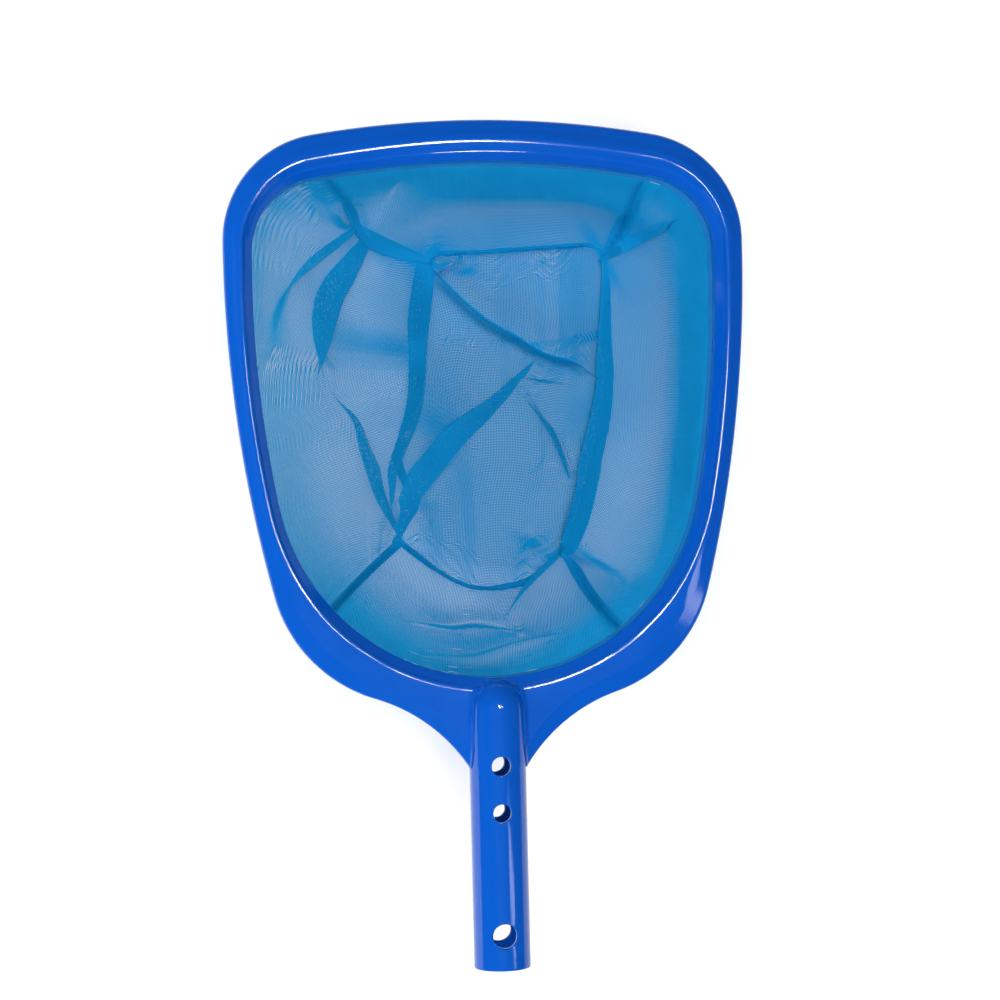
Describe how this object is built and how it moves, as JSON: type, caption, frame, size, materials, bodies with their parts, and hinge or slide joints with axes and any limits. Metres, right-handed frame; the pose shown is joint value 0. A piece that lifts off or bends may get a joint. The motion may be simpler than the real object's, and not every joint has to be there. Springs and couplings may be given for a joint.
{
  "type": "leaf skimmer net",
  "caption": "Hand skimmer head for a pool: a moulded scoop-shaped hoop with a tubular handle that plugs into a pole, and a deep sewn net bag.",
  "frame": {"origin": "centre of the handle's open mouth, on the tube's axis", "axes": "+X across the hoop, +Y along the tube from the mouth to the hoop's lip, +Z out of the face that the leaves enter; the bag hangs towards -Z"},
  "size_m": [0.266, 0.43, 0.1017],
  "materials": {
    "frame_plastic": "glossy moulded polypropylene",
    "ring_plastic": "satin",
    "net": "fine knitted nylon net",
    "seam": "folded net, sewn"
  },
  "bodies": {
    "root": {"frame_hoop": "frame_plastic", "frame_handle": "frame_plastic", "retaining_ring": "ring_plastic", "bag_hem": "net", "bag_floor": "net", "bag_lip_wall": "net", "bag_right_wall": "net", "bag_heel_wall": "net", "bag_left_wall": "net", "seam_lip_right": "seam", "seam_heel_right": "seam", "seam_heel_left": "seam", "seam_lip_left": "seam", "seam_floor_lip": "seam", "seam_floor_right": "seam", "seam_floor_heel": "seam", "seam_floor_left": "seam"}
  },
  "joints": []
}
